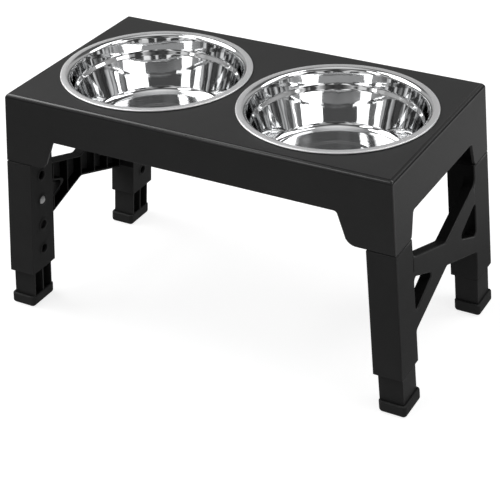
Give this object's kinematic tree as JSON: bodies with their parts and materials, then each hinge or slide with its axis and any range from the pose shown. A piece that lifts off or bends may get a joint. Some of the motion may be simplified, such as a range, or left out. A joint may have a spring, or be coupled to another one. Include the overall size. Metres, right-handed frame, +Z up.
{
  "type": "dog feeder stand",
  "caption": "Raised dog feeder: a black plastic tray with lift-out steel bowls on leg frames that fold under it, with telescoping legs locked by snap buttons.",
  "frame": {"origin": "on the floor, under the middle of the tray", "axes": "+X along the tray from left bowl to right bowl, +Y from front to back, +Z up"},
  "size_m": [0.4634, 0.2374, 0.2536],
  "materials": {
    "black_plastic": "moulded black plastic, satin, with a fine texture",
    "bowl_steel": "spun stainless steel, satin rim and bright inside",
    "foot_rubber": "matt black rubber",
    "spring_steel": "dull grey steel"
  },
  "bodies": {
    "stand": {"tray_shell": "black_plastic", "hinge_pin_front_left": "spring_steel", "hinge_pin_front_right": "spring_steel", "hinge_pin_back_left": "spring_steel", "hinge_pin_back_right": "spring_steel"},
    "bowl_left": {"bowl_left": "bowl_steel"},
    "leg_frame_left": {"leg_frame_left": "black_plastic"},
    "inner_leg_front_left": {"inner_leg_front_left": "black_plastic", "foot_front_left": "foot_rubber"},
    "snap_button_front_left": {"snap_button_front_left": "spring_steel"},
    "inner_leg_back_left": {"inner_leg_back_left": "black_plastic", "foot_back_left": "foot_rubber"},
    "snap_button_back_left": {"snap_button_back_left": "spring_steel"},
    "bowl_right": {"bowl_right": "bowl_steel"},
    "leg_frame_right": {"leg_frame_right": "black_plastic"},
    "inner_leg_front_right": {"inner_leg_front_right": "black_plastic", "foot_front_right": "foot_rubber"},
    "snap_button_front_right": {"snap_button_front_right": "spring_steel"},
    "inner_leg_back_right": {"inner_leg_back_right": "black_plastic", "foot_back_right": "foot_rubber"},
    "snap_button_back_right": {"snap_button_back_right": "spring_steel"}
  },
  "joints": [
    {"name": "lift_bowl_left", "type": "slide", "parent": "stand", "child": "bowl_left", "axis": [0, 0, 1], "range_m": [0, 0.1]},
    {"name": "fold_left", "type": "hinge", "parent": "stand", "child": "leg_frame_left", "pos_m": [-0.182, 0, 0.20849], "axis": [0, -1, 0], "range_deg": [0, 94.8]},
    {"name": "telescope_front_left", "type": "slide", "parent": "leg_frame_left", "child": "inner_leg_front_left", "axis": [0.0837, 0, 0.9965], "range_m": [-0.06, 0.03]},
    {"name": "press_front_left", "type": "hinge", "parent": "inner_leg_front_left", "child": "snap_button_front_left", "pos_m": [-0.19985, -0.09801, 0.10231], "axis": [0, -1, 0], "range_deg": [0, 12.1], "stiffness_Nm_per_rad": 3, "deforming": ["snap_button_front_left"]},
    {"name": "telescope_back_left", "type": "slide", "parent": "leg_frame_left", "child": "inner_leg_back_left", "axis": [0.0837, 0, 0.9965], "range_m": [-0.06, 0.03]},
    {"name": "press_back_left", "type": "hinge", "parent": "inner_leg_back_left", "child": "snap_button_back_left", "pos_m": [-0.19985, 0.09801, 0.10231], "axis": [0, -1, 0], "range_deg": [0, 12.1], "stiffness_Nm_per_rad": 3, "deforming": ["snap_button_back_left"]},
    {"name": "lift_bowl_right", "type": "slide", "parent": "stand", "child": "bowl_right", "axis": [0, 0, 1], "range_m": [0, 0.1]},
    {"name": "fold_right", "type": "hinge", "parent": "stand", "child": "leg_frame_right", "pos_m": [0.182, 0, 0.20849], "axis": [0, 1, 0], "range_deg": [0, 94.8]},
    {"name": "telescope_front_right", "type": "slide", "parent": "leg_frame_right", "child": "inner_leg_front_right", "axis": [-0.0837, 0, 0.9965], "range_m": [-0.06, 0.03]},
    {"name": "press_front_right", "type": "hinge", "parent": "inner_leg_front_right", "child": "snap_button_front_right", "pos_m": [0.19985, -0.09801, 0.10231], "axis": [0, 1, 0], "range_deg": [0, 12.1], "stiffness_Nm_per_rad": 3, "deforming": ["snap_button_front_right"]},
    {"name": "telescope_back_right", "type": "slide", "parent": "leg_frame_right", "child": "inner_leg_back_right", "axis": [-0.0837, 0, 0.9965], "range_m": [-0.06, 0.03]},
    {"name": "press_back_right", "type": "hinge", "parent": "inner_leg_back_right", "child": "snap_button_back_right", "pos_m": [0.19985, 0.09801, 0.10231], "axis": [0, 1, 0], "range_deg": [0, 12.1], "stiffness_Nm_per_rad": 3, "deforming": ["snap_button_back_right"]}
  ]
}
